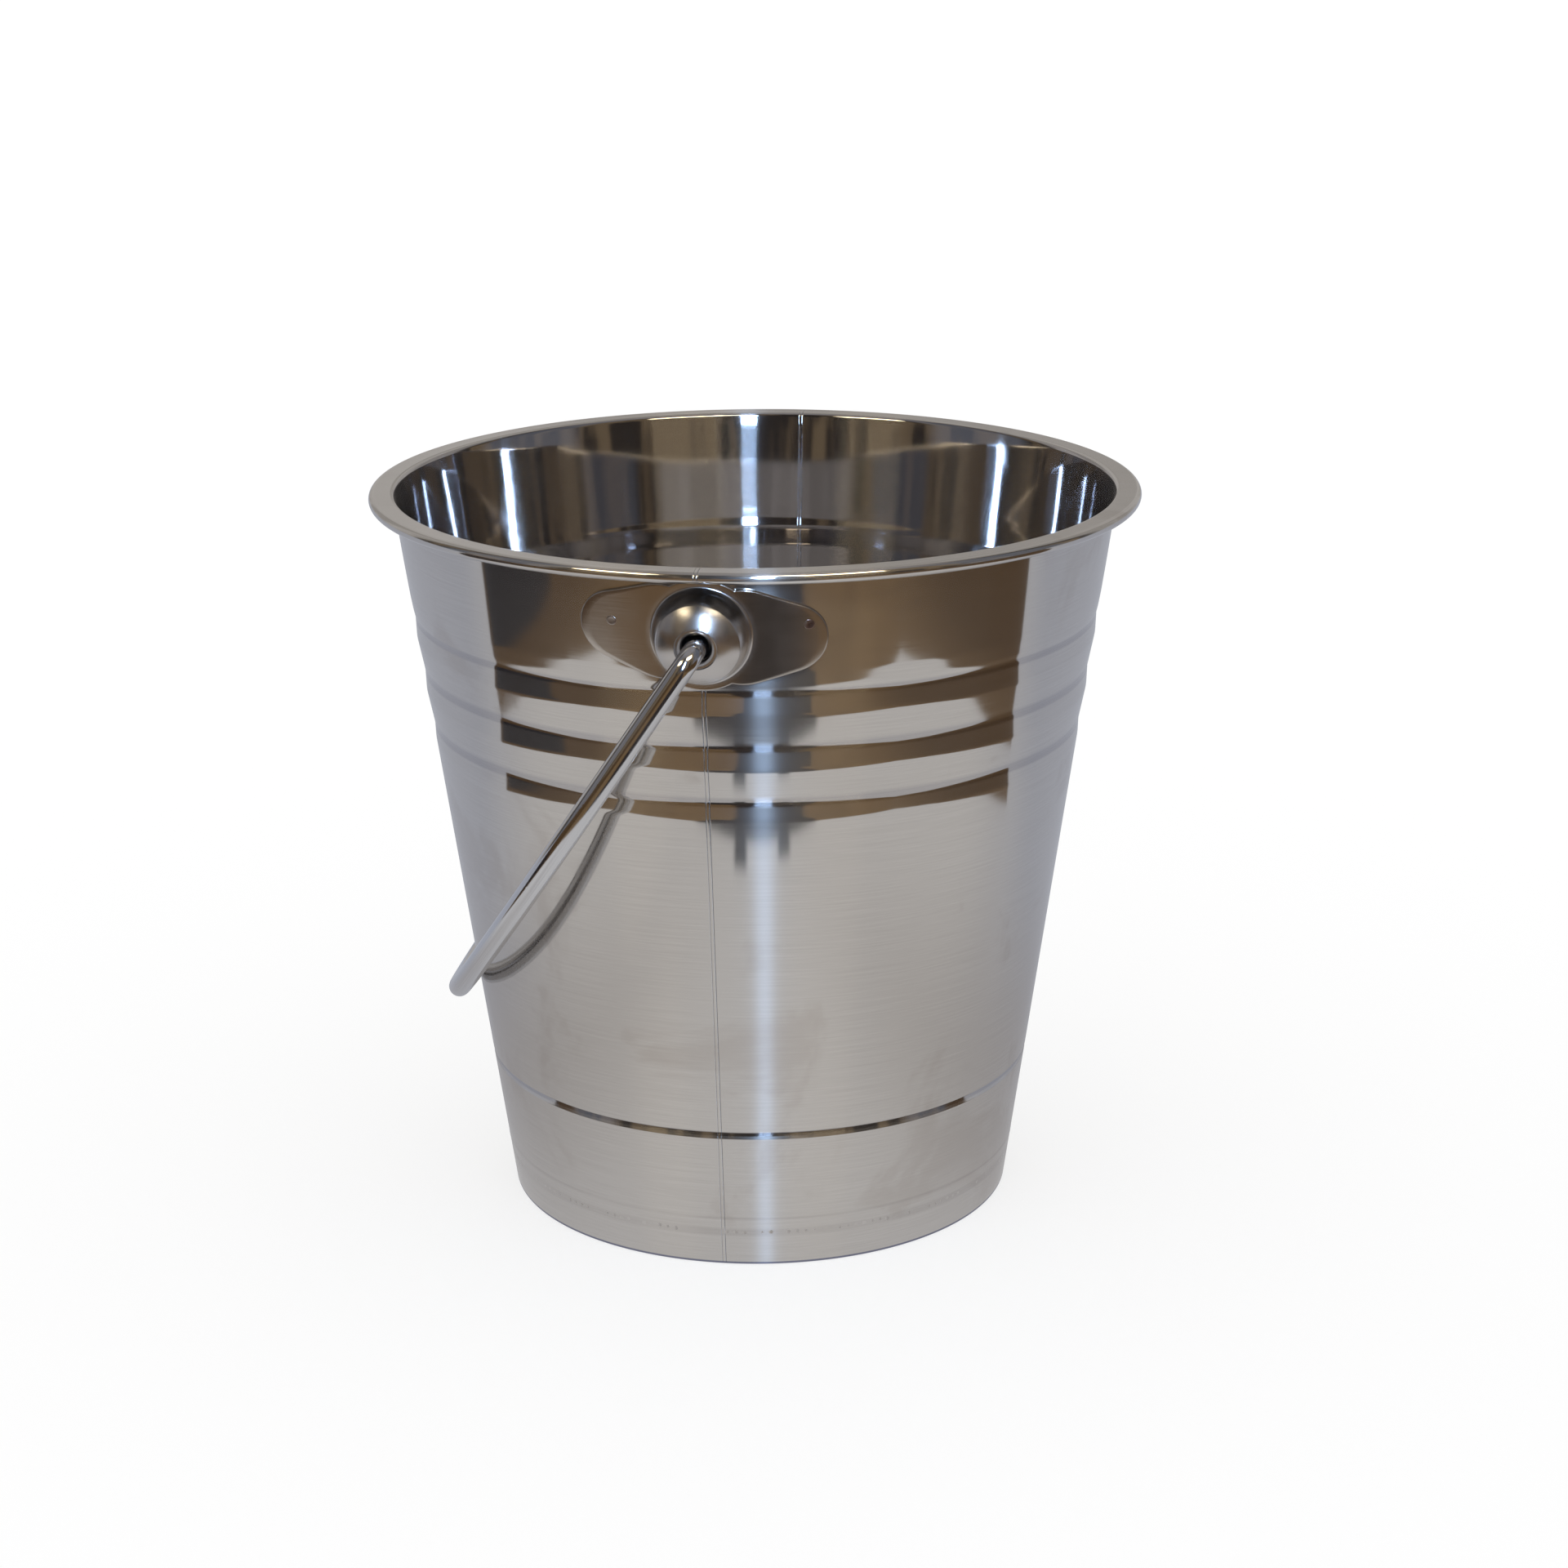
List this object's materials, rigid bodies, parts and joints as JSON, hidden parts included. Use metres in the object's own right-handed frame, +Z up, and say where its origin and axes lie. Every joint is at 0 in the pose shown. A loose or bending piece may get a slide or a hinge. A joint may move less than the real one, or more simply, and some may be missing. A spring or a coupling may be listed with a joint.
{
  "type": "milk pail",
  "caption": "Tapered stainless steel pail with a flat rolled rim, pressed rings, two welded side seams, domed ears and a wire bail that swings over the mouth.",
  "frame": {"origin": "centre of the foot ring, in the plane that the pail stands on", "axes": "+Z up along the pail's axis, the two ears on the Y axis, each over one of the two side seams, and the bail hanging on the -X side"},
  "size_m": [0.22, 0.24, 0.21],
  "materials": {
    "shell_steel": "bright brushed outside, polished inside",
    "base_steel": "mill finish sheet",
    "ear_steel": "polished pressing",
    "weld_steel": "cleaned resistance weld",
    "bail_steel": "polished drawn wire"
  },
  "bodies": {
    "pail": {"left_shell": "shell_steel", "right_shell": "shell_steel", "front_seam_weld": "weld_steel", "rear_seam_weld": "weld_steel", "base_pan": "base_steel", "base_seam_weld": "weld_steel", "ear_front": "ear_steel", "ear_rear": "ear_steel", "ear_spot_welds": "weld_steel"},
    "bail": {"bail": "bail_steel"}
  },
  "joints": [
    {"name": "bail_swing", "type": "hinge", "parent": "pail", "child": "bail", "pos_m": [0, 0, 0.19008], "axis": [0, 1, 0], "range_deg": [0, 292.2]}
  ]
}
